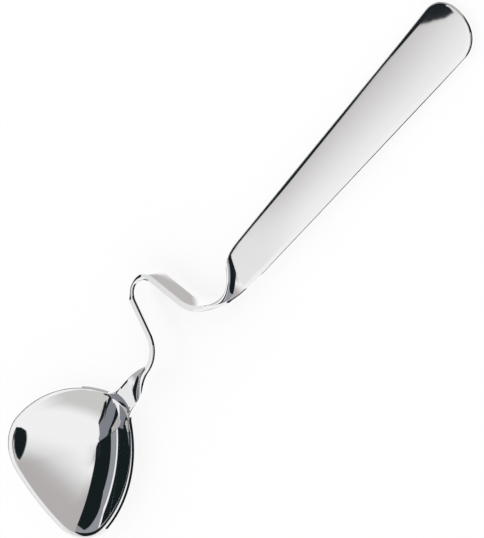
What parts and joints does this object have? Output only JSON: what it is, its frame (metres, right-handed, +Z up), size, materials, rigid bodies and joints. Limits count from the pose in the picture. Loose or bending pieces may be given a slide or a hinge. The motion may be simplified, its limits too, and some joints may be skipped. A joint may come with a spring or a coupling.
{
  "type": "jam spoon",
  "caption": "Jam spoon of polished steel strip: a wide blunt bowl, a twisted neck bent into a hook that hangs on a jar's rim, and a flat handle with a round end.",
  "frame": {"origin": "on the table, under the middle of the spoon's box as it lies with its bowl open upwards", "axes": "+X from the bowl's front to the handle's end, +Y to the side of the hook, +Z up out of the bowl"},
  "size_m": [0.18, 0.0378, 0.0083],
  "materials": {
    "polished_steel": "mirror-polished stainless steel with rounded edges"
  },
  "bodies": {
    "root": {"bowl": "polished_steel", "hook_neck": "polished_steel", "handle": "polished_steel"}
  },
  "joints": []
}
